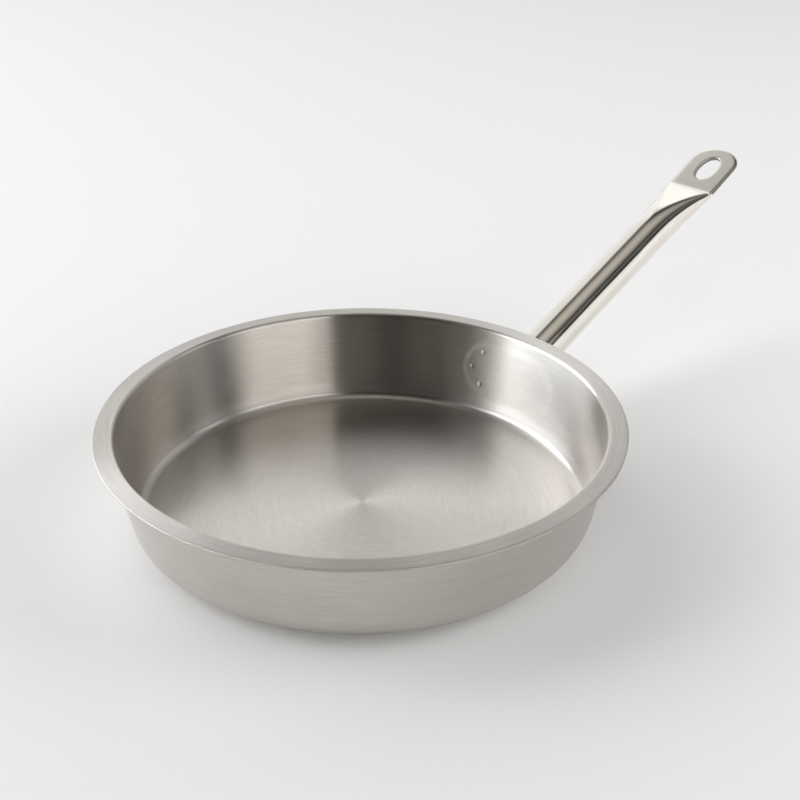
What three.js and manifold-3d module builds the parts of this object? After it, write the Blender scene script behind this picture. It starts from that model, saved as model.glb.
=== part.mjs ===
// Shallow stainless pan with a welded tubular handle.
// Millimetres, +Z up. The origin lies on the pan's axis, on the underside of the base,
// and the handle points along +X.

import * as THREE from 'three';
import { mergeVertices } from 'three/addons/utils/BufferGeometryUtils.js';
import Module from 'manifold-3d';

const wasm = await Module();
wasm.setup();

const { degToRad, lerp } = THREE.MathUtils;

// Pan body: one pressed sheet
const mouthDiameter = 258; // inside the wall, just under the lip
const panHeight = 57.5; // table to the crest of the lip
const sheetThickness = 1.5;
const wallFlare = degToRad(8); // wall, out from the vertical
const cornerRadius = 12; // inside, between floor and wall
const lipWidth = 11; // mouth to the lip's outer edge
const lipBendRadius = 2; // on the underside of the lip
const lipSlope = degToRad(5); // fall of the lip towards its edge
const lipEdgeRound = 0.5;

// Sandwich base
const discThickness = 3.2;
const capThickness = 0.8;
const capEdgeRadius = 2.5;
const baseInset = 3.5; // cap's edge, in from the edge of the body's flat bottom

// Handle tube, pressed flat at its outer end
const tubeDiameter = 22.8;
const tubeWall = 1.2;
const handleDrop = 24.3; // crest of the lip down to the tube's axis, at the mouth
const handleRise = degToRad(21.3);
const gripLength = 134.5; // mouth to the start of the flattening, along the axis
const pressLength = 54; // round tube to flat tab
const pressCurve = 2.2; // how gently the flattening starts
const pinchGap = 0.6; // half height of the bore where the walls close
const tabLength = 39.1;
const tabWidth = 32;
const tabNose = 13.2; // length of the rounded end
const tabBend = degToRad(2.5); // tab, up from the tube's axis
const slotLength = 21.8;
const slotWidth = 13;
const slotFromTip = 19.2; // to the middle of the slot

// Mounting plate and welds
const plateWidth = 64;
const plateThickness = 1.5;
const plateLand = 4.1; // plate above and below the tube
const weldDiameter = 2.2;
const weldHeight = 0.25; // of the marks inside the wall
const weldEdge = 4.5; // plate's edge to the middle of a weld
const weldFan = degToRad(65); // between neighbouring welds, round the plate's end
const dentDiameter = 5; // left by the electrode on the plate
const dentDepth = 0.35;
const beadLeg = 3;

// Between pieces that are pressed or welded together
const seatGap = 0.3;

// Facets
const bodyFacets = 84;
const baseFacets = 72;
const tubeFacets = 40;
const arcSteps = 8;
const smallArcSteps = 4;
const outlineSteps = 14;
const pressSteps = 12;
const sphereFacets = 12;

const X_AXIS = new THREE.Vector3(1, 0, 0);
const Y_AXIS = new THREE.Vector3(0, 1, 0);
const Z_AXIS = new THREE.Vector3(0, 0, 1);
const UP = Math.PI / 2;
const DOWN = -Math.PI / 2;

// Heights and radii that several pieces share
const mouthRadius = mouthDiameter / 2;
const rimRadius = mouthRadius + lipWidth;
const tubeRadius = tubeDiameter / 2;
const bodyBottom = capThickness + seatGap + discThickness + seatGap;
const floorHeight = bodyBottom + sheetThickness;

const lipTopRadius = lipBendRadius + sheetThickness;
const lipCentre = new THREE.Vector2(
  mouthRadius + lipTopRadius * Math.cos(wallFlare),
  panHeight - lipTopRadius,
);
const mouthHeight = lipCentre.y + lipTopRadius * Math.sin(wallFlare);

const cornerTop = floorHeight + cornerRadius * (1 - Math.sin(wallFlare));
const cornerCentre = new THREE.Vector2(
  wallRadius(cornerTop) - cornerRadius * Math.cos(wallFlare),
  floorHeight + cornerRadius,
);

const capRadius = cornerCentre.x - baseInset;
const capEdgeCentre = new THREE.Vector2(capRadius - capEdgeRadius, capEdgeRadius);

const axisHeight = panHeight - handleDrop;
const foldLength = gripLength + pressLength;
const plateHeight = tubeDiameter + 2 * plateLand;
const plateInside = (sheetThickness + seatGap) / Math.cos(wallFlare);
const plateOutside = plateInside + plateThickness / Math.cos(wallFlare);

// Handle frame: X along the tube, Y across it, Z on its upper side
const handleFrame = new THREE.Matrix4()
  .makeRotationY(-handleRise)
  .setPosition(mouthRadius, 0, axisHeight);
const tabFrame = handleFrame
  .clone()
  .multiply(new THREE.Matrix4().makeTranslation(foldLength, 0, 0))
  .multiply(new THREE.Matrix4().makeRotationY(-tabBend));

// Inside radius of the straight wall at a height
function wallRadius(height) {
  return mouthRadius - (mouthHeight - height) * Math.tan(wallFlare);
}

// Closed geometry to a solid that can be joined and cut
function solid(geometry) {
  const bare = new THREE.BufferGeometry();
  bare.setAttribute('position', geometry.getAttribute('position'));
  bare.setIndex(geometry.getIndex());
  const merged = mergeVertices(bare);
  const corners = merged.getIndex().array;
  const kept = [];
  for (let i = 0; i < corners.length; i += 3) {
    const triangle = corners.slice(i, i + 3);
    if (new Set(triangle).size === 3) {
      kept.push(...triangle);
    }
  }
  return new wasm.Manifold(new wasm.Mesh({
    numProp: 3,
    vertProperties: new Float32Array(merged.getAttribute('position').array),
    triVerts: new Uint32Array(kept),
  }));
}

// Solid to a named piece with its own material
function piece(name, body, look) {
  const { vertProperties, triVerts } = body.getMesh();
  const geometry = new THREE.BufferGeometry();
  geometry.setAttribute('position', new THREE.BufferAttribute(vertProperties, 3));
  geometry.setIndex(new THREE.BufferAttribute(triVerts, 1));
  geometry.computeVertexNormals();
  const mesh = new THREE.Mesh(geometry, new THREE.MeshStandardMaterial(look));
  mesh.name = name;
  return mesh;
}

// Points of an arc in a profile's plane
function arc(centre, radius, from, to, steps) {
  const points = [];
  for (let i = 0; i <= steps; i += 1) {
    const angle = lerp(from, to, i / steps);
    points.push(new THREE.Vector2(
      centre.x + radius * Math.cos(angle),
      centre.y + radius * Math.sin(angle),
    ));
  }
  return points;
}

// Profile of radius and height, turned about the pan's axis
function turned(profile, facets) {
  return solid(new THREE.LatheGeometry(profile, facets).rotateX(Math.PI / 2));
}

// Outline pushed both ways out of the plane of a frame
function extruded(outline, halfDepth, frame) {
  const geometry = new THREE.ExtrudeGeometry(outline, {
    depth: 2 * halfDepth,
    bevelEnabled: false,
    curveSegments: outlineSteps,
  });
  geometry.translate(0, 0, -halfDepth);
  return solid(geometry.applyMatrix4(frame));
}

// Flat round button lying on a surface
function button(place, facing, diameter, height) {
  const geometry = new THREE.SphereGeometry(1, sphereFacets, sphereFacets / 2);
  geometry.rotateX(Math.PI / 2);
  geometry.scale(diameter / 2, diameter / 2, height);
  geometry.applyQuaternion(new THREE.Quaternion().setFromUnitVectors(Z_AXIS, facing));
  geometry.translate(place.x, place.y, place.z);
  return solid(geometry);
}

// Section of the sheet from the bottom, up the outside, over the lip and down the inside
function bodyProfile() {
  const outward = new THREE.Vector2(Math.cos(lipSlope), -Math.sin(lipSlope));
  const upward = new THREE.Vector2(Math.sin(lipSlope), Math.cos(lipSlope));
  const crown = lipCentre.clone().addScaledVector(upward, lipTopRadius);
  const edgeTop = crown.clone().addScaledVector(outward, (rimRadius - crown.x) / outward.x);
  const topRound = edgeTop.clone()
    .addScaledVector(outward, -lipEdgeRound)
    .addScaledVector(upward, -lipEdgeRound);
  const bottomRound = topRound.clone()
    .addScaledVector(upward, 2 * lipEdgeRound - sheetThickness);
  const outerCorner = cornerRadius + sheetThickness;
  return [
    new THREE.Vector2(0, bodyBottom),
    ...arc(cornerCentre, outerCorner, DOWN, -wallFlare, arcSteps),
    ...arc(lipCentre, lipBendRadius, Math.PI - wallFlare, UP - lipSlope, smallArcSteps),
    ...arc(bottomRound, lipEdgeRound, DOWN - lipSlope, -lipSlope, smallArcSteps / 2),
    ...arc(topRound, lipEdgeRound, -lipSlope, UP - lipSlope, smallArcSteps / 2),
    ...arc(lipCentre, lipTopRadius, UP - lipSlope, Math.PI - wallFlare, smallArcSteps),
    ...arc(cornerCentre, cornerRadius, -wallFlare, DOWN, arcSteps),
    new THREE.Vector2(0, floorHeight),
  ];
}

// Middles of the spot welds, three round each end of the plate
function weldPlaces() {
  const ring = plateHeight / 2 - weldEdge;
  const places = [];
  for (const side of [-1, 1]) {
    for (const turn of [-weldFan, 0, weldFan]) {
      places.push({
        y: side * (plateWidth / 2 - plateHeight / 2 + ring * Math.cos(turn)),
        z: axisHeight + ring * Math.sin(turn),
      });
    }
  }
  return places;
}

// Point of the wall, or of a face outside it, at a weld, and the way that the face looks
function onWall({ y, z }, outside) {
  const radius = wallRadius(z) + outside;
  const place = new THREE.Vector3(Math.sqrt(radius * radius - y * y), y, z);
  const facing = new THREE.Vector3(place.x / radius, y / radius, -Math.tan(wallFlare)).normalize();
  return { place, facing };
}

function makeBody() {
  let body = turned(bodyProfile(), bodyFacets);
  for (const weld of weldPlaces()) {
    const { place, facing } = onWall(weld, 0);
    body = body.add(button(place, facing, weldDiameter, weldHeight));
  }
  return body;
}

function makeDisc() {
  const edgeRadius = capEdgeRadius - capThickness - seatGap;
  return turned([
    new THREE.Vector2(0, capThickness + seatGap),
    ...arc(capEdgeCentre, edgeRadius, DOWN, 0, smallArcSteps),
    new THREE.Vector2(capEdgeCentre.x + edgeRadius, bodyBottom - seatGap),
    new THREE.Vector2(0, bodyBottom - seatGap),
  ], baseFacets);
}

function makeCap() {
  const insideEdge = capEdgeRadius - capThickness;
  return turned([
    new THREE.Vector2(0, 0),
    ...arc(capEdgeCentre, capEdgeRadius, DOWN, 0, smallArcSteps),
    new THREE.Vector2(capRadius, bodyBottom - seatGap),
    new THREE.Vector2(capRadius - capThickness, bodyBottom - seatGap),
    ...arc(capEdgeCentre, insideEdge, 0, DOWN, smallArcSteps),
    new THREE.Vector2(0, capThickness),
  ], baseFacets);
}

// Plate: a stadium cut from a shell that follows the outside of the wall
function makePlate() {
  const low = axisHeight - plateHeight;
  const high = axisHeight + plateHeight;
  const shell = turned([
    new THREE.Vector2(wallRadius(low) + plateInside, low),
    new THREE.Vector2(wallRadius(low) + plateOutside, low),
    new THREE.Vector2(wallRadius(high) + plateOutside, high),
    new THREE.Vector2(wallRadius(high) + plateInside, high),
    new THREE.Vector2(wallRadius(low) + plateInside, low),
  ], bodyFacets);

  const endRadius = plateHeight / 2;
  const endPlace = plateWidth / 2 - endRadius;
  const outline = new THREE.Shape();
  outline.absarc(endPlace, 0, endRadius, DOWN, UP);
  outline.absarc(-endPlace, 0, endRadius, UP, UP + Math.PI);
  const across = new THREE.Matrix4()
    .makeBasis(Y_AXIS, Z_AXIS, X_AXIS)
    .setPosition(mouthRadius, 0, axisHeight);

  let plate = shell.intersect(extruded(outline, plateWidth / 2, across));
  for (const weld of weldPlaces()) {
    const { place, facing } = onWall(weld, plateOutside);
    plate = plate.subtract(button(place, facing, dentDiameter, dentDepth));
  }
  return plate;
}

// Where a line along the tube, at an offset from its axis, meets the outside of the plate
function seatAt(y, z) {
  const cos = Math.cos(handleRise);
  const sin = Math.sin(handleRise);
  const slope = Math.tan(wallFlare);
  const reach = mouthRadius - z * sin;
  const radius = wallRadius(axisHeight) + plateOutside + slope * z * cos;
  const a = cos * cos - slope * slope * sin * sin;
  const b = reach * cos - radius * slope * sin;
  const c = reach * reach + y * y - radius * radius;
  return (-b + Math.sqrt(b * b - a * c)) / a;
}

// How far the tube is flattened at a distance along it, from 0 to 1
function flattening(distance) {
  const share = THREE.MathUtils.clamp((distance - gripLength) / pressLength, 0, 1);
  return Math.pow(share, pressCurve);
}

// Tube skin, or the bore a wall thickness inside it: round at the plate, then pressed flat.
// The first ring follows the plate, at a distance from it.
function tubeLoft(distances, inset, rootGap) {
  const rings = distances.length - 1;
  const turn = Math.PI / tubeFacets;
  const geometry = new THREE.CylinderGeometry(1, 1, 1, tubeFacets, rings, false, turn);
  geometry.rotateZ(DOWN);
  const points = geometry.getAttribute('position');
  const point = new THREE.Vector3();
  const bend = new THREE.Matrix4()
    .makeTranslation(foldLength, 0, 0)
    .multiply(new THREE.Matrix4().makeRotationY(-tabBend))
    .multiply(new THREE.Matrix4().makeTranslation(-foldLength, 0, 0));
  for (let i = 0; i < points.count; i += 1) {
    point.fromBufferAttribute(points, i);
    const ring = Math.round((point.x + 1 / 2) * rings);
    const flat = flattening(distances[ring]);
    const halfWidth = lerp(tubeRadius, tabWidth / 2, flat) - inset;
    const halfHeight = lerp(tubeRadius, tubeWall, flat) - inset;
    const onRim = Math.hypot(point.y, point.z) > 1 / 2;
    const side = onRim ? Math.sign(point.y) : 0;
    point.y = halfHeight * point.y + (halfWidth - halfHeight) * side;
    point.z = halfHeight * point.z;
    point.x = ring === 0 ? seatAt(point.y, point.z) + rootGap : distances[ring];
    if (distances[ring] > foldLength) {
      point.applyMatrix4(bend);
    }
    points.setXYZ(i, point.x, point.y, point.z);
  }
  return solid(geometry.applyMatrix4(handleFrame));
}

// Distances of the rings, evenly spaced where the tube is pressed, up to a last one
function ringDistances(pressEnd) {
  const distances = [0];
  for (let i = 0; i <= pressSteps; i += 1) {
    distances.push(lerp(gripLength, pressEnd, i / pressSteps));
  }
  return distances;
}

// What is cut away round the tab's end
function noseCutter() {
  const start = tabLength - tabNose;
  const beyond = tabLength + tabNose;
  const outline = new THREE.Shape();
  outline.absellipse(start, 0, tabNose, tabWidth / 2, UP, DOWN, true);
  outline.lineTo(start, -tabWidth);
  outline.lineTo(beyond, -tabWidth);
  outline.lineTo(beyond, tabWidth);
  outline.lineTo(start, tabWidth);
  return extruded(outline, tubeDiameter, tabFrame);
}

function slotCutter() {
  const outline = new THREE.Shape();
  outline.absellipse(
    tabLength - slotFromTip, 0, slotLength / 2, slotWidth / 2, 0, 2 * Math.PI,
  );
  return extruded(outline, tubeDiameter, tabFrame);
}

function makeTube() {
  const pinch = Math.pow(1 - pinchGap / (tubeRadius - tubeWall), 1 / pressCurve);
  const skin = tubeLoft([...ringDistances(foldLength), foldLength + tabLength], 0, seatGap);
  const bore = tubeLoft(ringDistances(gripLength + pressLength * pinch), tubeWall, -tubeWall);
  return skin.subtract(bore).subtract(noseCutter()).subtract(slotCutter());
}

// Bead in the corner between tube and plate, following the plate all the way round
function makeBead() {
  const inner = tubeRadius + seatGap;
  const corner = new THREE.Vector2(inner, seatGap);
  const profile = [corner, ...arc(corner, beadLeg, 0, UP, smallArcSteps), corner];
  const geometry = new THREE.LatheGeometry(profile, tubeFacets).rotateZ(DOWN);
  const points = geometry.getAttribute('position');
  for (let i = 0; i < points.count; i += 1) {
    points.setX(i, points.getX(i) + seatAt(points.getY(i), points.getZ(i)));
  }
  return solid(geometry.applyMatrix4(handleFrame));
}

const satinSteel = { color: 0xb8b3aa, roughness: 0.4, metalness: 1 };
const polishedSteel = { color: 0xc9c6c0, roughness: 0.12, metalness: 1 };
const plainSteel = { color: 0xaaa69f, roughness: 0.5, metalness: 1 };
const aluminium = { color: 0xc6c8ca, roughness: 0.55, metalness: 1 };

const pan = new THREE.Group();
pan.name = 'saute_pan';
pan.add(piece('pan_body', makeBody(), satinSteel));
pan.add(piece('heat_spreader_disc', makeDisc(), aluminium));
pan.add(piece('base_cap', makeCap(), plainSteel));
pan.add(piece('handle_mounting_plate', makePlate(), plainSteel));
pan.add(piece('handle_tube', makeTube(), polishedSteel));
pan.add(piece('handle_weld_bead', makeBead(), plainSteel));

export default pan;
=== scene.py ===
import math

import bmesh
import bpy
from mathutils import Matrix, Vector


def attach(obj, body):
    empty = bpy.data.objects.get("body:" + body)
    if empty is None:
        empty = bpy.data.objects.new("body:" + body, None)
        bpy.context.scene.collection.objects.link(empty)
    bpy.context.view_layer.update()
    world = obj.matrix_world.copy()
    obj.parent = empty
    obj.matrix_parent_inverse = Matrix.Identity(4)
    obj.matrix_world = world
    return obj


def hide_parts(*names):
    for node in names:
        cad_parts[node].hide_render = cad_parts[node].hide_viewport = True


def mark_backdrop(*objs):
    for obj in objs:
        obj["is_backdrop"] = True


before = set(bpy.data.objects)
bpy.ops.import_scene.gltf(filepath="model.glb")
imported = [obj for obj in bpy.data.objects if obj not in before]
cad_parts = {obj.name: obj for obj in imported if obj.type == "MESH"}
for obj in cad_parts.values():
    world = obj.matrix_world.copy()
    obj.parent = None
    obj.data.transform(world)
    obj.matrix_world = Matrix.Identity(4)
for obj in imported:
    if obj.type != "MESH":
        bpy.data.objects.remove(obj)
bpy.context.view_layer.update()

MM = 0.001
TAU = 2 * math.pi
QUARTER = math.pi / 2
scene = bpy.context.scene

# Pan body, in millimetres and radians: R is a radius, Z a height above the table
MOUTH_R = 129.0
PAN_H = 57.5
SHEET = 1.5
FLARE = math.radians(8)  # inside of the wall, out from the vertical
CORNER = 22.0  # arc between floor and wall
FLOOR_LIFT = 8.2  # floor above the lowest point of that arc's circle
CREASE = 6.0  # rounding where the floor meets the arc
OUT_R = 127.6  # outside of the wall, at OUT_Z
OUT_Z = 30.0
OUT_FLARE = math.radians(12)
CORNER_OUT = 16.5
SKIRT_R = 109.3  # foot of the outside, round the cap
SKIRT_Z = 2.5  # lowest point of the outer corner's circle
LIP_W = 11.0
LIP_BEND = 3.5  # bend that places the mouth under the lip
LIP_BEND_TOP = 2.0
LIP_BEND_UNDER = 1.2
LIP_SLOPE = math.radians(5)
LIP_ROUND = 0.5

# Base
SEAT = 0.3  # between pieces that are pressed or welded together
CAP_T = 0.8
DISC_T = 3.2
CAP_EDGE = 2.5
CAP_R = 108.27
CAP_CHAMFER = 0.2

# Handle tube, pressed into a tab at its end
TUBE_R = 11.4
WALL_T = 1.2
AXIS_DROP = 24.3  # axis under the pan's top, at the mouth
RISE = math.radians(21.3)
GRIP = 134.5  # round length
PRESS = 54.0  # from round to flat
PRESS_CURVE = 2.2  # how gently the flattening starts
FOLD_ROUND = 1.8
TAB_L = 39.1
TAB_W = 32.0
TAB_NOSE = 13.2
TAB_BEND = math.radians(2.5)
SLOT_L = 21.8
SLOT_W = 13.0
SLOT_FROM_TIP = 19.2
SLOT_RIM = 0.2

# Mounting plate, its spot welds and the bead
PLATE_W = 64.0
PLATE_T = 1.5
PLATE_LAND = 4.1  # plate above and below the tube
PLATE_EDGE = 0.4
PRINT_DEPTH = 0.12  # imprint of the plate on the inside of the wall
PRINT_EDGE = 4.5
WELD_FOOT = 2.97
WELD_H = 0.17
WELD_EDGE = 4.5  # from the plate's edge
WELD_FAN = math.radians(65)
DENT_FOOT = 6.25
DENT_DEPTH = 0.35
BEAD = 2.69

BODY_BOTTOM = CAP_T + SEAT + DISC_T + SEAT
FLOOR_Z = BODY_BOTTOM + SHEET
RIM_R = MOUTH_R + LIP_W
LIP_C = (MOUTH_R + LIP_BEND * math.cos(FLARE), PAN_H - LIP_BEND)
MOUTH_Z = LIP_C[1] + LIP_BEND * math.sin(FLARE)
AXIS_Z = PAN_H - AXIS_DROP
PLATE_END = TUBE_R + PLATE_LAND  # radius of the plate's ends
PLATE_SPINE = PLATE_W / 2 - PLATE_END
PLATE_IN = SEAT / math.cos(OUT_FLARE)
PLATE_OUT = PLATE_IN + PLATE_T / math.cos(OUT_FLARE)
FOLD = GRIP + PRESS
SLOT_U = TAB_L - SLOT_FROM_TIP


def wall_r(z):
    return MOUTH_R - (MOUTH_Z - z) * math.tan(FLARE)


def outer_r(z):
    return OUT_R + (z - OUT_Z) * math.tan(OUT_FLARE)


def corner_centre(radius, bottom, wall, flare):
    """Centre of the arc between a level bottom and a flared wall."""
    top = bottom + radius * (1 - math.sin(flare))
    return wall(top) - radius * math.cos(flare), bottom + radius


CORNER_C = corner_centre(CORNER, FLOOR_Z - FLOOR_LIFT, wall_r, FLARE)
CORNER_TOP = CORNER_C[1] - CORNER * math.sin(FLARE)
OUTER_C = corner_centre(CORNER_OUT, SKIRT_Z, outer_r, OUT_FLARE)


def lerp(a, b, t):
    return a + (b - a) * t


def smooth(t):
    t = min(max(t, 0.0), 1.0)
    return t * t * (3 - 2 * t)


def arc(c, r, a0, a1, n):
    """Points of an arc, with both its ends."""
    angles = [lerp(a0, a1, i / n) for i in range(n + 1)]
    return [(c[0] + r * math.cos(a), c[1] + r * math.sin(a)) for a in angles]


def line(p, q, n):
    """Points after p, up to and with q."""
    return [(lerp(p[0], q[0], i / n), lerp(p[1], q[1], i / n)) for i in range(1, n + 1)]


def new_object(name, verts, faces, uvs=None):
    mesh = bpy.data.meshes.new(name)
    mesh.from_pydata([(x * MM, y * MM, z * MM) for x, y, z in verts], [], faces)
    if uvs:
        layer = mesh.uv_layers.new(name="UVMap")
        for poly, corners in zip(mesh.polygons, uvs):
            for loop, uv in zip(poly.loop_indices, corners):
                layer.data[loop].uv = uv
    mesh.validate()
    bm = bmesh.new()
    bm.from_mesh(mesh)
    bmesh.ops.recalc_face_normals(bm, faces=bm.faces)
    bm.to_mesh(mesh)
    bm.free()
    mesh.shade_smooth()
    obj = bpy.data.objects.new(name, mesh)
    scene.collection.objects.link(obj)
    return obj


class Shell:
    """Points and faces of a piece."""

    def __init__(self):
        self.verts, self.faces = [], []

    def point(self, place):
        self.verts.append(tuple(place))
        return len(self.verts) - 1

    def bridge(self, a, b):
        """Faces between two closed loops of points."""
        for i in range(len(a)):
            j = (i + 1) % len(a)
            self.faces.append((a[i], a[j], b[j], b[i]))


def turned(name, profile, angles, move=None):
    """Profile of radius and height, from the axis to the axis, turned round Z."""
    n = len(angles)
    lengths = [0.0]
    for p, q in zip(profile, profile[1:]):
        lengths.append(lengths[-1] + math.dist(p, q))
    verts = [(0, 0, profile[0][1]), (0, 0, profile[-1][1])]
    rings = []
    for r, z in profile[1:-1]:
        rings.append(len(verts))
        for a in angles:
            rr, zz = (r, z) if move is None else move(r, z, a)
            verts.append((rr * math.cos(a), rr * math.sin(a), zz))
    faces, uvs = [], []
    turn = [a / TAU for a in angles] + [angles[0] / TAU + 1]
    scale = 1 / lengths[-1]
    for i in range(n):
        j = (i + 1) % n
        u0, u1 = turn[i], turn[i + 1]
        um = (u0 + u1) / 2
        faces.append((0, rings[0] + j, rings[0] + i))
        uvs.append(((um, 0), (u1, lengths[1] * scale), (u0, lengths[1] * scale)))
        for k in range(len(rings) - 1):
            a, b = rings[k], rings[k + 1]
            va, vb = lengths[k + 1] * scale, lengths[k + 2] * scale
            faces.append((a + i, a + j, b + j, b + i))
            uvs.append(((u0, va), (u1, va), (u1, vb), (u0, vb)))
        last = rings[-1]
        faces.append((1, last + i, last + j))
        uvs.append(((um, 1), (u0, lengths[-2] * scale), (u1, lengths[-2] * scale)))
    return new_object(name, verts, faces, uvs)


# Spot welds, in two fans at the ends of the plate
def weld_places():
    ring = PLATE_END - WELD_EDGE
    return [
        (side * (PLATE_SPINE + ring * math.cos(t)), AXIS_Z + ring * math.sin(t))
        for side in (-1, 1)
        for t in (-WELD_FAN, 0, WELD_FAN)
    ]


WELDS = weld_places()


def weld_mounds(y, z, foot):
    """Round mounds of height one and a width at their foot, at the spot welds."""
    total = 0.0
    for wy, wz in WELDS:
        d = math.hypot(y - wy, z - wz) / (foot / 2)
        if d < 1:
            total += 0.5 + 0.5 * math.cos(math.pi * d)
    return total


def plate_distance(y, z):
    """Distance inside (positive) or outside the plate's outline."""
    return PLATE_END - math.hypot(max(abs(y) - PLATE_SPINE, 0), z - AXIS_Z)


def wall_shift(y, z):
    """How far the welded plate and its spot welds push the inside of the wall in."""
    imprint = PRINT_DEPTH * smooth(0.5 + plate_distance(y, z) / PRINT_EDGE)
    return imprint + WELD_H * weld_mounds(y, z, WELD_FOOT)


# Pan body: profile from the middle of the floor, up the inside, over the lip and down the outside
FLOOR_STEPS = 36
CREASE_STEPS = 9
CORNER_STEPS = 18
WALL_STEPS = 72
BEND_STEPS = 12
LIP_STEPS = 6
ROUND_STEPS = 4
UNDER_STEPS = 8
OUTER_STEPS = 14
BOTTOM_STEPS = 12
WALL_FINISH, FLOOR_FINISH, RIM_FINISH, OUTSIDE_FINISH = range(4)


def body_profile():
    out = (math.cos(LIP_SLOPE), -math.sin(LIP_SLOPE))
    up = (math.sin(LIP_SLOPE), math.cos(LIP_SLOPE))
    crown = (LIP_C[0] + up[0] * LIP_BEND, LIP_C[1] + up[1] * LIP_BEND)
    edge = (RIM_R, crown[1] + out[1] * (RIM_R - crown[0]) / out[0])
    top_c = tuple(edge[k] - LIP_ROUND * (out[k] + up[k]) for k in (0, 1))
    low_c = tuple(top_c[k] + up[k] * (2 * LIP_ROUND - SHEET) for k in (0, 1))
    upward = QUARTER - LIP_SLOPE

    def bend(drop, radius, foot, flare):
        """Centre of the bend between a line at a drop under the lip's top and the wall through a foot."""
        side = (math.cos(flare), -math.sin(flare))
        start = tuple(crown[k] - up[k] * (drop + radius) for k in (0, 1))
        gap = sum((start[k] - foot[k]) * side[k] for k in (0, 1))
        along = (radius - gap) / sum(out[k] * side[k] for k in (0, 1))
        return tuple(start[k] + out[k] * along for k in (0, 1))

    # Inside: floor, crease, corner and wall
    turn = math.acos((CORNER - FLOOR_LIFT - CREASE) / (CORNER - CREASE))
    crease_c = (CORNER_C[0] + (CORNER - CREASE) * math.sin(turn), FLOOR_Z + CREASE)
    pts = [(0, FLOOR_Z)]
    pts += line(pts[-1], (crease_c[0], FLOOR_Z), FLOOR_STEPS)
    pts += arc(crease_c, CREASE, -QUARTER, turn - QUARTER, CREASE_STEPS)[1:]
    pts += arc(CORNER_C, CORNER, turn - QUARTER, -FLARE, CORNER_STEPS)[1:]
    top_bend = bend(0, LIP_BEND_TOP, (MOUTH_R, MOUTH_Z), FLARE)
    upper = arc(top_bend, LIP_BEND_TOP, math.pi - FLARE, upward, BEND_STEPS)
    pts += line(pts[-1], upper[0], WALL_STEPS) + upper[1:]

    # Lip: its top, its rounded edge and the bend under it
    lip_end = (top_c[0] + LIP_ROUND * up[0], top_c[1] + LIP_ROUND * up[1])
    pts += line(pts[-1], lip_end, LIP_STEPS)
    pts += arc(top_c, LIP_ROUND, upward, -LIP_SLOPE, ROUND_STEPS)[1:]
    pts += arc(low_c, LIP_ROUND, -LIP_SLOPE, -QUARTER - LIP_SLOPE, ROUND_STEPS)
    low_bend = bend(SHEET, LIP_BEND_UNDER, (OUT_R, OUT_Z), OUT_FLARE)
    under = arc(low_bend, LIP_BEND_UNDER, upward, math.pi - OUT_FLARE, UNDER_STEPS)
    pts += line(pts[-1], under[0], LIP_STEPS) + under[1:]

    # Outside: wall, corner and skirt, then the underside
    skirt = -math.acos((SKIRT_R - OUTER_C[0]) / CORNER_OUT)
    outer = arc(OUTER_C, CORNER_OUT, -OUT_FLARE, skirt, CORNER_STEPS)
    pts += line(pts[-1], outer[0], OUTER_STEPS) + outer[1:] + [(SKIRT_R, BODY_BOTTOM)]
    pts += line(pts[-1], (0, BODY_BOTTOM), BOTTOM_STEPS)
    return pts


FINE = math.radians(16)  # half of the stretch behind the plate, which has narrow strips
FINE_STEP = math.radians(0.2)
COARSE = 264


def body_angles():
    fine = [-FINE + i * FINE_STEP for i in range(round(2 * FINE / FINE_STEP))]
    return fine + [lerp(FINE, TAU - FINE, i / COARSE) for i in range(COARSE)]


def body_move(r, z, a):
    """Pushes the inside of the wall in behind the plate."""
    if a > math.pi:
        a -= TAU
    inside = CORNER_TOP - 1 <= z <= MOUTH_Z - 1 and r <= wall_r(z) + SHEET / 2
    if abs(a) > 2 * FINE or not inside:
        return r, z
    shift = wall_shift(r * math.sin(a), z)
    return r - shift * math.cos(FLARE), z + shift * math.sin(FLARE)


def body_mesh():
    profile = body_profile()
    obj = turned("pan_body_turned", profile, body_angles(), body_move)
    rows = len(profile) - 1
    floor_end = FLOOR_STEPS + CREASE_STEPS
    edge_start = floor_end + CORNER_STEPS + WALL_STEPS + BEND_STEPS + LIP_STEPS
    outside_start = rows - OUTER_STEPS - CORNER_STEPS - BOTTOM_STEPS - 1
    for face in obj.data.polygons:
        row = face.index % rows
        if row < floor_end:
            face.material_index = FLOOR_FINISH
        elif edge_start <= row <= edge_start + ROUND_STEPS:
            face.material_index = RIM_FINISH
        elif row >= outside_start:
            face.material_index = OUTSIDE_FINISH
        else:
            face.material_index = WALL_FINISH
    return obj


body = body_mesh()


# Base cap: a shallow dish round the disc, and the closed underside
def cap_profile():
    c = (CAP_R - CAP_EDGE, CAP_EDGE)
    top = BODY_BOTTOM - SEAT
    soft = 0.3 * CAP_CHAMFER
    pts = [(0, 0)] + line((0, 0), (c[0], 0), 24)
    pts += arc(c, CAP_EDGE, -QUARTER, 0, 8)[1:]
    pts += line(pts[-1], (CAP_R, top - CAP_CHAMFER), 2)
    pts += [(CAP_R - soft, top - soft), (CAP_R - CAP_CHAMFER, top), (CAP_R - CAP_T, top)]
    pts += arc(c, CAP_EDGE - CAP_T, 0, -QUARTER, 6)
    pts += line(pts[-1], (0, CAP_T), 6)
    return pts


CAP_STRIPS = 180
cap = turned("base_cap_turned", cap_profile(), [i * TAU / CAP_STRIPS for i in range(CAP_STRIPS)])


# Handle frame: X along the tube, Y across it, Z on its upper side
HANDLE = Matrix.Translation((MOUTH_R, 0, AXIS_Z)) @ Matrix.Rotation(-RISE, 4, "Y")
TAB = HANDLE @ Matrix.Translation((FOLD, 0, 0)) @ Matrix.Rotation(-TAB_BEND, 4, "Y")


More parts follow.
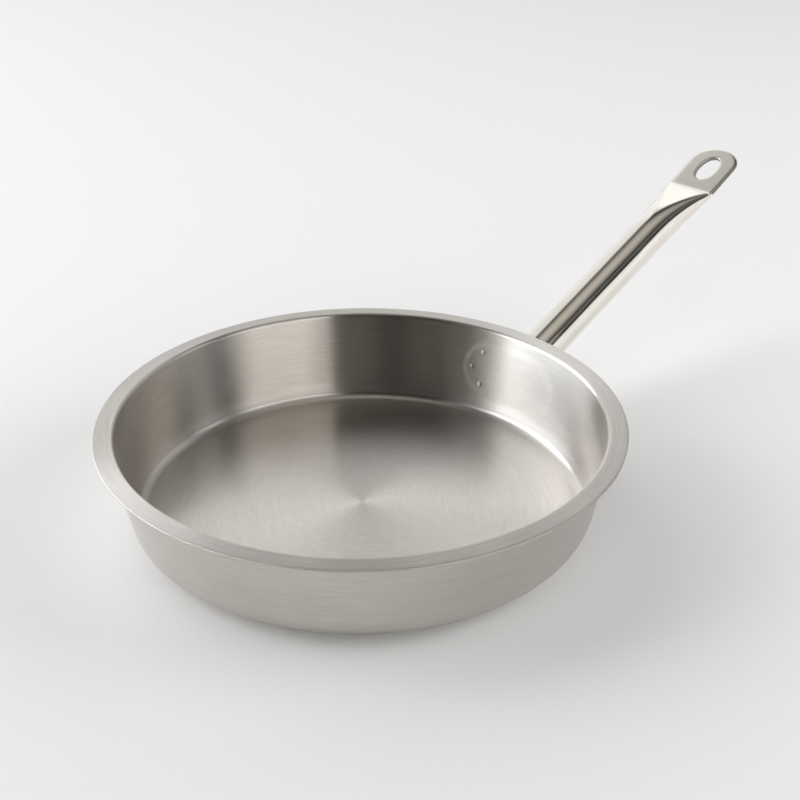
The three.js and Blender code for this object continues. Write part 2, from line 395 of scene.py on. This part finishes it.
def seat_at(y, z):
    """Just off the plate's outside, on a line along the tube at an offset from its axis."""
    cos, sin, slope = math.cos(RISE), math.sin(RISE), math.tan(OUT_FLARE)
    reach = MOUTH_R - z * sin
    radius = outer_r(AXIS_Z) + PLATE_OUT + slope * z * cos
    a = cos * cos - slope * slope * sin * sin
    b = reach * cos - radius * slope * sin
    c = reach * reach + y * y - radius * radius
    return (-b + math.sqrt(b * b - a * c)) / a + SEAT


EDGE_STEPS = 8
FLAT_STEPS = 30
AROUND = 2 * (EDGE_STEPS + FLAT_STEPS)
NEAR = EDGE_STEPS // 2  # grid lines at the two ends of the upper flat, at the fold
FAR = NEAR + FLAT_STEPS
FACE_STEPS = 7
PRESS_STEPS = 36
FOLD_STEPS = 8
NOSE_STEPS = 56
ROOT_RINGS = (0, 0.5, 1)  # distances from the plate, whose curve they follow
GRIP_RINGS = (12, 40, 80, 120, GRIP - 12, GRIP - 4)
TAB_SIDES = (4, 8, 12, 16, 20, 23)
BLEND_START = 0.6 * GRIP


def section(d):
    """Half width and half height of the tube at a distance along it."""
    share = min(max((d - GRIP) / PRESS, 0), 1)
    flat = share ** PRESS_CURVE
    w = lerp(TUBE_R, TAB_W / 2, flat)
    h = lerp(TUBE_R, WALL_T, flat)
    left = FOLD - d
    if left < FOLD_ROUND:
        slope = (TUBE_R - WALL_T) * PRESS_CURVE / PRESS
        h = WALL_T + slope * left * left / (2 * FOLD_ROUND)
    return w, h


def stadium(w, h, t):
    """Point of a stadium outline at a share of its length, from the right middle round over the top."""
    flat = 2 * (w - h)
    bend = math.pi * h
    s = (t % 1.0) * (2 * flat + 2 * bend)
    if s < bend / 2:
        a = s / h
        return w - h + h * math.cos(a), h * math.sin(a)
    s -= bend / 2
    if s < flat:
        return w - h - s, h
    s -= flat
    if s < bend:
        a = QUARTER + s / h
        return -(w - h) + h * math.cos(a), h * math.sin(a)
    s -= bend
    if s < flat:
        return -(w - h) + s, -h
    s -= flat
    a = 3 * QUARTER + s / h
    return w - h + h * math.cos(a), h * math.sin(a)


def fold_share(i):
    """Share of the outline at which a grid line lies at the fold, where the flats end on grid lines."""
    flat, bend = TAB_W - 2 * WALL_T, math.pi * WALL_T
    total = 2 * (flat + bend)
    turn, i = divmod(i + EDGE_STEPS // 2, EDGE_STEPS + FLAT_STEPS)
    if i <= EDGE_STEPS:
        s = bend * i / EDGE_STEPS
    else:
        s = bend + flat * (i - EDGE_STEPS) / FLAT_STEPS
    return (turn * total / 2 + s - bend / 2) / total


def tube_loft(shell):
    """Tube from its closed root on the plate to the fold; gives the ring at the fold."""
    distances = [*ROOT_RINGS, *GRIP_RINGS]
    distances += [lerp(GRIP, FOLD - FOLD_ROUND, i / PRESS_STEPS) for i in range(PRESS_STEPS + 1)]
    distances += [FOLD - FOLD_ROUND * (1 - i / FOLD_STEPS) for i in range(1, FOLD_STEPS + 1)]
    rings = []
    for d in distances:
        w, h = section(d)
        blend = smooth((d - BLEND_START) / (FOLD - BLEND_START))
        ring = []
        for i in range(AROUND):
            y, z = stadium(w, h, lerp(i / AROUND, fold_share(i), blend))
            x = seat_at(y, z) + d if d in ROOT_RINGS else d
            ring.append(shell.point(HANDLE @ Vector((x, y, z))))
        rings.append(ring)
    for a, b in zip(rings, rings[1:]):
        shell.bridge(a, b)
    hub = shell.point(HANDLE @ Vector((seat_at(0, 0), 0, 0)))
    root = rings[0]
    shell.faces += [(hub, root[(i + 1) % AROUND], root[i]) for i in range(AROUND)]
    return rings[-1]


def tab_outline():
    """Outline of the tab with its normals, from one end of the fold round the nose to the other."""
    half = TAB_W / 2
    points = [(u, half, 0, 1) for u in TAB_SIDES]
    for i in range(NOSE_STEPS + 1):
        a = lerp(QUARTER, -QUARTER, i / NOSE_STEPS)
        u, v = TAB_L - TAB_NOSE + TAB_NOSE * math.cos(a), half * math.sin(a)
        points.append((u, v, *Vector((math.cos(a) / TAB_NOSE, math.sin(a) / half)).normalized()))
    return points + [(u, -half, 0, -1) for u in reversed(TAB_SIDES)]


def tab_edge(shell, fold):
    """Rounded edge of the tab, in rows from its upper to its lower face; gives the cut faces too."""
    rows = [[fold[(NEAR - k) % AROUND] for k in range(EDGE_STEPS + 1)]]
    for u, v, nu, nv in tab_outline():
        row = []
        for k in range(EDGE_STEPS + 1):
            a = lerp(QUARTER, -QUARTER, k / EDGE_STEPS)
            drop = WALL_T * (1 - math.cos(a))
            place = Vector((u - nu * drop, v - nv * drop, WALL_T * math.sin(a)))
            row.append(shell.point(TAB @ place))
        rows.append(row)
    rows.append([fold[FAR + k] for k in range(EDGE_STEPS + 1)])
    cut = []
    for a, b in zip(rows, rows[1:]):
        for k in range(EDGE_STEPS):
            if 0 < k < EDGE_STEPS - 1:
                cut.append(len(shell.faces))
            shell.faces.append((a[k], b[k], b[k + 1], a[k + 1]))
    return rows, cut


def slot_point(a, grow, lift):
    """Point of the slot's oval in a direction from its middle, in the tab's frame."""
    du, dv = math.cos(a), math.sin(a)
    reach = 1 / math.hypot(du / (SLOT_L / 2 + grow), dv / (SLOT_W / 2 + grow))
    return Vector((SLOT_U + du * reach, dv * reach, lift))


def tab_face(shell, loop, side):
    """One face of the tab, from its outline to the slot and round into it; gives the last ring."""
    inverse = TAB.inverted()
    places = [inverse @ Vector(shell.verts[index]) for index in loop]
    angles = [math.atan2(p.y, p.x - SLOT_U) for p in places]
    rings = [loop]
    for k in range(1, FACE_STEPS + 1):
        share = k / FACE_STEPS
        ends = [slot_point(a, SLOT_RIM, side * WALL_T) for a in angles]
        rings.append([shell.point(TAB @ p.lerp(q, share)) for p, q in zip(places, ends)])
    for k in range(1, ROUND_STEPS + 1):
        turn = k / ROUND_STEPS * QUARTER
        grow = SLOT_RIM * (1 - math.sin(turn))
        lift = side * (WALL_T - SLOT_RIM * (1 - math.cos(turn)))
        rings.append([shell.point(TAB @ slot_point(a, grow, lift)) for a in angles])
    for a, b in zip(rings, rings[1:]):
        shell.bridge(a, b)
    return rings[-1]


def handle_mesh():
    shell = Shell()
    fold = tube_loft(shell)
    rows, cut = tab_edge(shell, fold)
    upper = [fold[FAR - k] for k in range(FLAT_STEPS)] + [row[0] for row in rows[:-1]]
    lower = [fold[FAR + EDGE_STEPS + k] for k in range(FLAT_STEPS)] + [row[-1] for row in rows[:-1]]
    top, low = tab_face(shell, upper, 1), tab_face(shell, lower, -1)
    cut += range(len(shell.faces), len(shell.faces) + len(top))
    shell.bridge(top, low)
    obj = new_object("handle_tube_smooth", shell.verts, shell.faces)
    for face in cut:
        obj.data.polygons[face].material_index = 1
    return obj


handle = handle_mesh()


# Mounting plate: a stadium that follows the wall, with electrode marks on its outside
def plate_mesh():
    count, rings = 176, 26
    shell = Shell()

    def loop(scale, outside, dent=0.0):
        """Loop at a share of the outline, at a distance outside the wall."""
        ring = []
        for i in range(count):
            y, z = stadium(PLATE_W / 2, PLATE_END, i / count)
            middle = max(-PLATE_SPINE, min(PLATE_SPINE, y))
            y, z = middle + (y - middle) * scale, z * scale + AXIS_Z
            r = outer_r(z) + outside - dent * weld_mounds(y, z, DENT_FOOT)
            ring.append(shell.point((math.sqrt(r * r - y * y), y, z)))
        return ring

    flat = (PLATE_END - PLATE_EDGE) / PLATE_END
    loops = [loop(k / rings * flat, PLATE_OUT, DENT_DEPTH) for k in range(1, rings + 1)]
    for k in range(1, ROUND_STEPS + 1):
        turn = k / ROUND_STEPS * QUARTER
        scale = (PLATE_END - PLATE_EDGE * (1 - math.sin(turn))) / PLATE_END
        loops.append(loop(scale, PLATE_OUT - PLATE_EDGE * (1 - math.cos(turn))))
    loops += [loop(scale, PLATE_IN) for scale in (1, 0.7, 0.4, 0.12)]
    for a, b in zip(loops, loops[1:]):
        shell.bridge(a, b)
    shell.faces += [tuple(loops[0]), tuple(reversed(loops[-1]))]
    return new_object("mounting_plate_formed", shell.verts, shell.faces)


plate = plate_mesh()


# Weld bead: a fillet round the tube's root, laid in overlapping ripples
def bead_mesh():
    count, steps, ripples = 240, 8, 46
    shell = Shell()
    loops = []
    for i in range(count):
        a = i * TAU / count
        ripple = math.sin(math.pi * ((a / TAU * ripples) % 1.0))
        leg = BEAD + 0.16 * ripple + 0.10 * math.sin(5 * a + 1.3) + 0.06 * math.sin(11 * a)
        loop = []
        for along, out in [(0.0, 0.0)] + arc((0, 0), leg, 0, QUARTER, steps):
            r = TUBE_R + SEAT + out
            y, z = r * math.cos(a), r * math.sin(a)
            loop.append(shell.point(HANDLE @ Vector((seat_at(y, z) + along, y, z))))
        loops.append(loop)
    for a, b in zip(loops, loops[1:] + loops[:1]):
        shell.bridge(a, b)
    return new_object("weld_bead_rippled", shell.verts, shell.faces)


bead = bead_mesh()


# Materials
class Nodes:
    """Short way to lay out a node tree."""

    def __init__(self, tree):
        self.tree = tree
        tree.nodes.clear()

    def add(self, kind, inputs=None, **settings):
        node = self.tree.nodes.new(kind)
        for key, value in settings.items():
            setattr(node, key, value)
        for key, value in (inputs or {}).items():
            self.put(node, key, value)
        return node

    def put(self, node, key, value):
        socket = node.inputs[key]
        if hasattr(value, "links"):
            self.tree.links.new(value, socket)
        else:
            socket.default_value = value

    def math(self, operation, *values):
        return self.add("ShaderNodeMath", dict(enumerate(values)), operation=operation).outputs[0]

    def vector(self, operation, *values):
        return self.add("ShaderNodeVectorMath", dict(enumerate(values)), operation=operation).outputs[0]

    def split(self, vector):
        return self.add("ShaderNodeSeparateXYZ", {0: vector}).outputs

    def place(self):
        return self.add("ShaderNodeTexCoord").outputs["Object"]

    def noise(self, vector, scale, detail=2.0, roughness=0.5):
        inputs = {"Vector": vector, "Scale": scale, "Detail": detail, "Roughness": roughness}
        return self.add("ShaderNodeTexNoise", inputs).outputs[0]

    def range(self, value, lo, hi, from_lo=0.25, from_hi=0.75, curve="LINEAR"):
        inputs = {0: value, 1: from_lo, 2: from_hi, 3: lo, 4: hi}
        return self.add("ShaderNodeMapRange", inputs, clamp=True, interpolation_type=curve).outputs[0]

    def grain(self, vector, stretch, detail=3.0, roughness=0.6):
        return self.noise(self.vector("MULTIPLY", vector, stretch), 1.0, detail, roughness)

    def rotate(self, vector, angle, axis):
        inputs = {"Vector": vector, "Angle": angle}
        return self.add("ShaderNodeVectorRotate", inputs, rotation_type=axis).outputs[0]

    def mix(self, factor, a, b):
        return self.add("ShaderNodeMix", {0: factor, 6: a, 7: b}, data_type="RGBA").outputs[2]

    def ramp(self, value, stops):
        node = self.add("ShaderNodeValToRGB", {0: value})
        elements = node.color_ramp.elements
        elements.remove(elements[-1])
        elements[0].position = stops[0][0]
        elements[0].color = (*stops[0][1], 1)
        for place, colour in stops[1:]:
            elements.new(place).color = (*colour, 1)
        return node.outputs[0]

    def bump(self, strength, distance, height):
        inputs = {"Strength": strength, "Distance": distance, "Height": height}
        return self.add("ShaderNodeBump", inputs).outputs[0]

    def surface(self, inputs):
        shader = self.add("ShaderNodeBsdfPrincipled", inputs)
        self.add("ShaderNodeOutputMaterial", {"Surface": shader.outputs[0]})


def grey(v, warm=0.0):
    return (v * (1 + warm), v, v * (1 - 1.6 * warm))


def material(name):
    mat = bpy.data.materials.new(name)
    mat.use_nodes = True
    return mat, Nodes(mat.node_tree)


def brushed(name, colour, rough_lo, rough_hi, aniso, line_count, depth=0.025, foot=0.0):
    """Steel with lines turned round the pan's axis, duller towards the foot of the wall if foot is given."""
    mat, n = material(name)
    where = n.place()
    around = n.vector("NORMALIZE", n.vector("MULTIPLY", where, (1, 1, 0)))
    along = n.split(n.add("ShaderNodeUVMap", uv_map="UVMap").outputs[0])[1]
    far = n.add("ShaderNodeCombineXYZ", {2: n.math("MULTIPLY", along, line_count)}).outputs[0]
    fine = n.noise(n.vector("ADD", n.vector("MULTIPLY", around, (6, 6, 6)), far), 1.0, 1.5, 0.6)
    long = n.vector("MULTIPLY", around, (9, 9, 9))
    broad = n.noise(n.vector("ADD", long, n.vector("MULTIPLY", far, (1, 1, 0.16))), 1.0, 3.0, 0.6)
    patch = n.noise(where, 18.0)

    def shade(share):
        return tuple(min(c * share, 1) for c in colour) + (1,)

    tone = n.mix(n.range(fine, 0.0, 1.0, 0.3, 0.7), shade(0.91), shade(1.06))
    tone = n.mix(n.range(broad, 0.0, 0.5), tone, shade(0.95))
    mixed = n.math("ADD", n.math("MULTIPLY", broad, 0.6), n.math("MULTIPLY", patch, 0.4))
    rough = n.range(mixed, rough_lo, rough_hi, 0.35, 0.65)
    if foot:
        dull = n.range(n.split(where)[2], foot, 0.0, FLOOR_Z * MM, CORNER_TOP * MM)
        rough = n.math("ADD", rough, dull)
    tangent = n.add("ShaderNodeTangent", direction_type="RADIAL", axis="Z").outputs[0]
    n.surface({
        "Base Color": tone, "Metallic": 1.0, "Roughness": rough, "Anisotropic": aniso,
        "Anisotropic Rotation": 0.25, "Tangent": tangent, "Normal": n.bump(depth, 0.00005, fine),
    })
    return mat


def polished():
    """Tube with a mirror polish along it, and a slightly duller tab."""
    mat, n = material("polished_steel")
    where = n.place()
    long = n.grain(n.rotate(where, RISE, "Y_AXIS"), (60, 1400, 1400), 2.0, 0.5)
    blotch = n.noise(where, 60.0, 3.0, 0.55)
    smudge = n.math("ADD", n.math("MULTIPLY", long, 0.5), n.math("MULTIPLY", blotch, 0.5))
    fold = TAB.translation.x * MM
    on_tab = n.range(n.split(where)[0], 0.0, 1.0, fold - MM, fold + MM)
    rough = n.range(smudge, 0.055, 0.10, 0.35, 0.65)
    rough = n.math("ADD", rough, n.math("MULTIPLY", on_tab, 0.08))
    colour = n.mix(n.range(blotch, 0, 1, 0.35, 0.65), (0.82, 0.785, 0.725, 1), (0.855, 0.82, 0.76, 1))
    tilt = n.bump(0.04, 0.00002, long)
    n.surface({"Base Color": colour, "Metallic": 1.0, "Roughness": rough, "Normal": tilt})
    return mat


def cut_steel():
    """Sheared edges of the tab and its slot, dull and darker than the polished faces."""
    mat, n = material("cut_steel")
    grain = n.grain(n.place(), (700, 700, 2600))
    colour = n.mix(n.range(grain, 0, 1, 0.3, 0.7), (0.20, 0.185, 0.16, 1), (0.33, 0.31, 0.275, 1))
    rough = n.range(grain, 0.34, 0.5, 0.3, 0.7)
    n.surface({"Base Color": colour, "Metallic": 1.0, "Roughness": rough})
    return mat


def plain_steel():
    mat, n = material("plate_steel")
    where = n.place()
    grain = n.grain(where, (300, 300, 2600))
    blotch = n.noise(where, 120.0, 3.0)
    colour = n.mix(n.range(blotch, 0, 1, 0.3, 0.7), (0.58, 0.56, 0.53, 1), (0.66, 0.64, 0.61, 1))
    rough = n.range(grain, 0.28, 0.42, 0.3, 0.7)
    tilt = n.bump(0.12, 0.00004, grain)
    n.surface({"Base Color": colour, "Metallic": 1.0, "Roughness": rough, "Normal": tilt})
    return mat


def weld_steel():
    """Bead with scale and faint heat colours."""
    mat, n = material("weld_steel")
    where = n.place()
    scale = n.noise(where, 260.0, 4.0, 0.6)
    heat = n.noise(where, 70.0)
    tone = n.ramp(n.range(heat, 0, 1, 0.3, 0.7), [
        (0.0, (0.55, 0.53, 0.51)), (0.5, (0.60, 0.55, 0.47)), (1.0, (0.50, 0.50, 0.54)),
    ])
    rough = n.range(scale, 0.32, 0.5, 0.3, 0.7)
    tilt = n.bump(0.3, 0.00012, scale)
    n.surface({"Base Color": tone, "Metallic": 1.0, "Roughness": rough, "Normal": tilt})
    return mat


def aluminium():
    mat, n = material("aluminium_core")
    grain = n.grain(n.place(), (80, 900, 900))
    colour = n.mix(n.range(grain, 0, 1, 0.3, 0.7), (0.72, 0.72, 0.73, 1), (0.80, 0.80, 0.81, 1))
    rough = n.range(grain, 0.35, 0.5, 0.3, 0.7)
    n.surface({"Base Color": colour, "Metallic": 1.0, "Roughness": rough})
    return mat


SATIN = (0.60, 0.572, 0.535)
SATIN_LINES = 420.0
CAP_STEEL = (0.62, 0.605, 0.58)
CAP_LINES = 260.0
# Finishes of the body in the order wall, floor, rim and outside
looks = {
    body: [
        brushed("satin_steel", SATIN, 0.278, 0.295, 1.0, SATIN_LINES, foot=0.16),
        brushed("floor_steel", SATIN, 0.278, 0.295, 0.85, SATIN_LINES),
        brushed("rim_edge_steel", SATIN, 0.60, 0.70, 0.0, SATIN_LINES),
        brushed("outside_steel", SATIN, 0.278, 0.295, 0.5, SATIN_LINES),
    ],
    cap: [brushed("base_steel", CAP_STEEL, 0.28, 0.38, 0.7, CAP_LINES, depth=0.2)],
    handle: [polished(), cut_steel()],
    plate: [plain_steel()],
    bead: [weld_steel()],
}
for piece, finishes in looks.items():
    for finish in finishes:
        piece.data.materials.append(finish)
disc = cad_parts["heat_spreader_disc"]
disc.data.materials.clear()
disc.data.materials.append(aluminium())

for piece, node, slot in (
    (body, "pan_body", "satin_steel"),
    (cap, "base_cap", "base_steel"),
    (handle, "handle_tube", "polished_steel"),
    (plate, "handle_mounting_plate", "base_steel"),
    (bead, "handle_weld_bead", "base_steel"),
):
    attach(piece, "root")
    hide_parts(node)


# Stage: a pale floor, in metres, a hair under the base
STAGE_HALF = 4.0
STAGE_Z = -0.0002


def floor_mesh():
    mesh = bpy.data.meshes.new("studio_floor")
    corners = ((-1, -1), (1, -1), (1, 1), (-1, 1))
    verts = [(x * STAGE_HALF, y * STAGE_HALF, STAGE_Z) for x, y in corners]
    mesh.from_pydata(verts, [], [(0, 1, 2, 3)])
    obj = bpy.data.objects.new("studio_floor", mesh)
    scene.collection.objects.link(obj)
    mat, n = material("floor_paper")
    fibre = n.noise(n.place(), 900.0)
    colour = n.mix(n.range(fibre, 0, 1, 0.3, 0.7), (0.80, 0.80, 0.797, 1), (0.815, 0.815, 0.812, 1))
    n.surface({"Base Color": colour, "Roughness": 0.85, "Specular IOR Level": 0.1})
    mesh.materials.append(mat)
    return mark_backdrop(obj)


floor_mesh()

# Camera: heading turned from the part's frame, looking down, with a slight roll
PHOTO_TURN = math.radians(47.161)
VIEW_DOWN = math.radians(28.28)
VIEW_ROLL = math.radians(-0.125)
VIEW_FROM = (-0.51024418, -0.50166394, 0.453455)
camera = bpy.data.objects.new("camera", bpy.data.cameras.new("camera"))
camera.data.lens = 69.83
camera.data.shift_x = -0.0011
camera.data.sensor_width = 36.0
camera.data.clip_start = 0.01
heading = QUARTER - PHOTO_TURN
flat = math.cos(VIEW_DOWN)
forward = Vector((flat * math.cos(heading), flat * math.sin(heading), -math.sin(VIEW_DOWN)))
right = Vector((math.sin(heading), -math.cos(heading), 0.0))
above = right.cross(forward)
axis_x = right * math.cos(VIEW_ROLL) + above * math.sin(VIEW_ROLL)
axis_y = above * math.cos(VIEW_ROLL) - right * math.sin(VIEW_ROLL)
facing = Matrix((axis_x, axis_y, -forward)).transposed().to_4x4()
camera.matrix_world = Matrix.Translation(VIEW_FROM) @ facing
scene.collection.objects.link(camera)
scene.camera = camera

# Studio: colour, compass angles left and right, heights low and high, softness of the sides and the
# lower edge, softness of the upper edge. Compass angles are seen from above: 0 lies towards the camera,
# 90 to its right, 180 behind the pan.
CARDS = [
    (grey(0.86), 186, 250, -10, 57, 5, 18),
    (grey(1.2), 160, 192, -10, 48, 26, 16),
    (grey(0.48), 134, 166, -10, 50, 8, 14),
    (grey(0.58), 108, 138, -10, 50, 8, 14),
    (grey(0.95), 60, 106, -10, 21, 5, 6),
    (grey(0.12), 55, 106, 35, 44, 3, 3),
    (grey(1.1), 82, 98, -10, 40, 5, 14),
    (grey(1.4), 60, 69, -10, 42, 4, 18),
    (grey(1.6, 0.02), 16, 62, -10, 42, 2, 18),
    (grey(1.7, 0.02), 16, 36, -10, 42, 2, 18),
    (grey(0.01), -58, 16, -10, 66, 2, 8),
    (grey(0.50), -64, -54, -10, 60, 6, 10),
    (grey(1.8), -76, -64, -10, 34, 5, 18),
    ((5.2, 5.4, 5.7), -134, -72, 14, 34, 8, 18),
    ((6.6, 6.9, 7.3), -134, -72, -10, 16, 8, 8),
]
BEHIND_CARDS = grey(0.05, 0.03)
# Patch overhead: colour, middle right of and behind the top, reach to the sides and to the front and
# back, all as slopes from straight up
OVERHEAD = (grey(0.52, 0.05), 0.12, 0.0, 0.5, 0.33)
# Soft light on the floor, from a ring low round the pan that is weaker in front
RING = [
    (grey(3.8), -180, 180, -60, 21, 10, 42),
    (grey(1.6), -60, 60, -60, 21, 30, 42),
]
BACKDROP = grey(0.80)


class Studio(Nodes):
    """Surroundings of the pan, as soft-edged cards over a plain colour."""

    def __init__(self, tree):
        super().__init__(tree)
        toward = self.add("ShaderNodeTexCoord").outputs["Generated"]
        toward = self.rotate(toward, PHOTO_TURN, "Z_AXIS")
        self.toward = self.split(toward)
        self.level = self.vector("NORMALIZE", self.vector("MULTIPLY", toward, (1, 1, 0)))
        self.height = self.math("ARCSINE", self.toward[2])

    def past(self, value, edge, soft):
        """Mask that rises from 0 to 1 across a soft edge."""
        lo, hi = math.radians(edge - soft / 2), math.radians(edge + soft / 2)
        return self.range(value, 0.0, 1.0, lo, hi, "SMOOTHSTEP")

    def before(self, value, edge, soft):
        return self.math("SUBTRACT", 1.0, self.past(value, edge, soft))

    def card(self, base, colour, left, right, low, high, soft, soft_high):
        """Lays a card over what is behind it."""
        lower, upper = self.past(self.height, low, soft), self.before(self.height, high, soft_high)
        mask = self.math("MULTIPLY", lower, upper)
        if right - left < 360:
            middle = math.radians((left + right) / 2)
            pair = {0: self.level, 1: (math.sin(middle), -math.cos(middle), 0)}
            across = self.add("ShaderNodeVectorMath", pair, operation="DOT_PRODUCT").outputs["Value"]
            away = self.math("ARCCOSINE", across)
            mask = self.math("MULTIPLY", mask, self.before(away, (right - left) / 2, soft))
        return self.mix(mask, base, (*colour, 1))

    def cards(self, start, places):
        base = (*start, 1)
        for place in places:
            base = self.card(base, *place)
        return base

    def slope(self, part, middle, reach):
        """Slope of a direction, from a middle and in shares of a reach, squared."""
        rise = self.math("MAXIMUM", self.toward[2], 0.02)
        share = self.math("DIVIDE", self.math("SUBTRACT", self.math("DIVIDE", part, rise), middle), reach)
        return self.math("MULTIPLY", share, share)

    def overhead(self, base, colour, side, behind, reach, depth):
        """Lays a soft oval patch over the top."""
        across = self.slope(self.toward[0], side, reach)
        away = self.math("SQRT", self.math("ADD", across, self.slope(self.toward[1], behind, depth)))
        return self.mix(self.range(away, 1.0, 0.0, 0.2, 1.8, "SMOOTHSTEP"), base, (*colour, 1))

    def background(self, colour):
        return self.add("ShaderNodeBackground", {"Color": colour, "Strength": 1.0}).outputs[0]

    def switch(self, ray, off, on):
        return self.add("ShaderNodeMixShader", {0: ray, 1: off, 2: on}).outputs[0]


world = bpy.data.worlds.new("studio")
scene.world = world
world.use_nodes = True
world.cycles.sampling_method = "NONE"
studio = Studio(world.node_tree)
mirrored = studio.overhead(studio.cards(BEHIND_CARDS, CARDS), *OVERHEAD)
ring = studio.cards(grey(0.0), RING)
path = studio.add("ShaderNodeLightPath").outputs
light = studio.switch(path["Is Glossy Ray"], studio.background(ring), studio.background(mirrored))
light = studio.switch(path["Is Camera Ray"], light, studio.background((*BACKDROP, 1)))
studio.add("ShaderNodeOutputWorld", {"Surface": light})

# Soft lamps: place to the right of the pan, behind it and up, as the camera sees it, in metres
LAMPS = [
    ("key_lamp", (-1.3, 1.0, 1.6), 2.5, 19),
    ("left_lamp", (-1.6, 0.0, 0.9), 1.2, 11.5),
    ("right_lamp", (1.6, 0.0, 0.9), 1.2, 11.5),
    ("top_lamp", (0.0, -0.9, 2.1), 1.2, 3),
]
for name, place, size, power in LAMPS:
    lamp = bpy.data.lights.new(name, "AREA")
    lamp.shape = "DISK"
    lamp.size = size
    lamp.energy = power
    obj = bpy.data.objects.new(name, lamp)
    spot = Matrix.Rotation(-PHOTO_TURN, 4, "Z") @ Vector(place)
    obj.matrix_world = Matrix.Translation(spot) @ spot.to_track_quat("Z", "Y").to_matrix().to_4x4()
    obj.visible_glossy = False
    scene.collection.objects.link(obj)

scene.view_settings.view_transform = "Standard"
